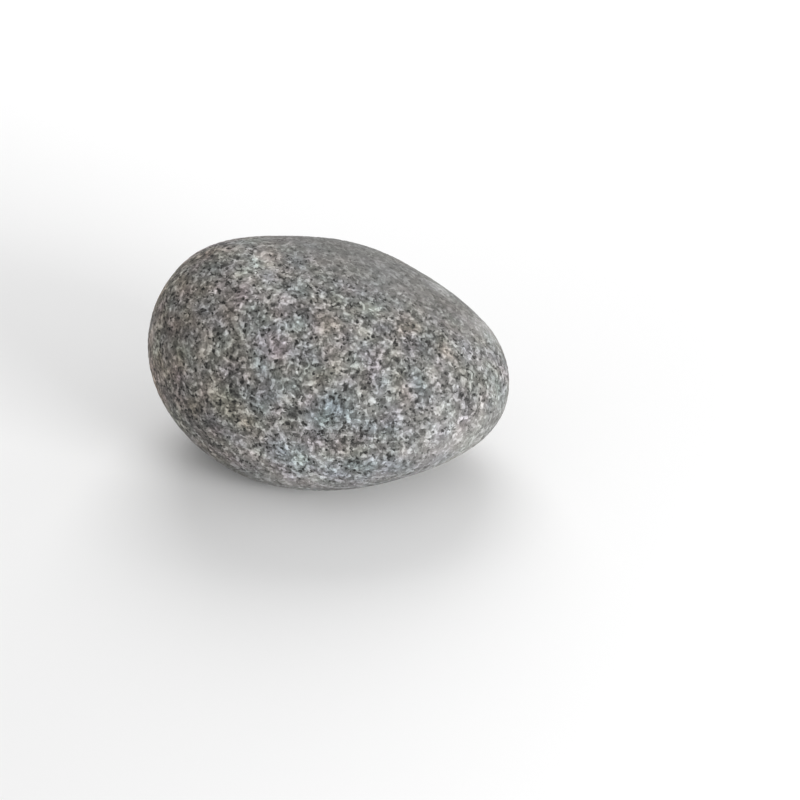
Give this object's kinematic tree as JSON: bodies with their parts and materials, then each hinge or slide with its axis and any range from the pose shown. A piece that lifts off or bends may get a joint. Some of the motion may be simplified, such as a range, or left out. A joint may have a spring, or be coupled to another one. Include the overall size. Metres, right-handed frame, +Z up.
{
  "type": "river pebble",
  "caption": "Smooth water-worn oval granite stone with a blunt heel, a narrower nose and a worn flat underside that it rests on.",
  "frame": {"origin": "under the middle of the stone's box, on the surface that it lies on", "axes": "+X from the blunt heel to the narrower nose, +Y across the stone to the far flank, +Z up to the crown"},
  "size_m": [0.117, 0.09, 0.074],
  "materials": {
    "granite": "matte"
  },
  "bodies": {
    "root": {"pebble": "granite"}
  },
  "joints": []
}
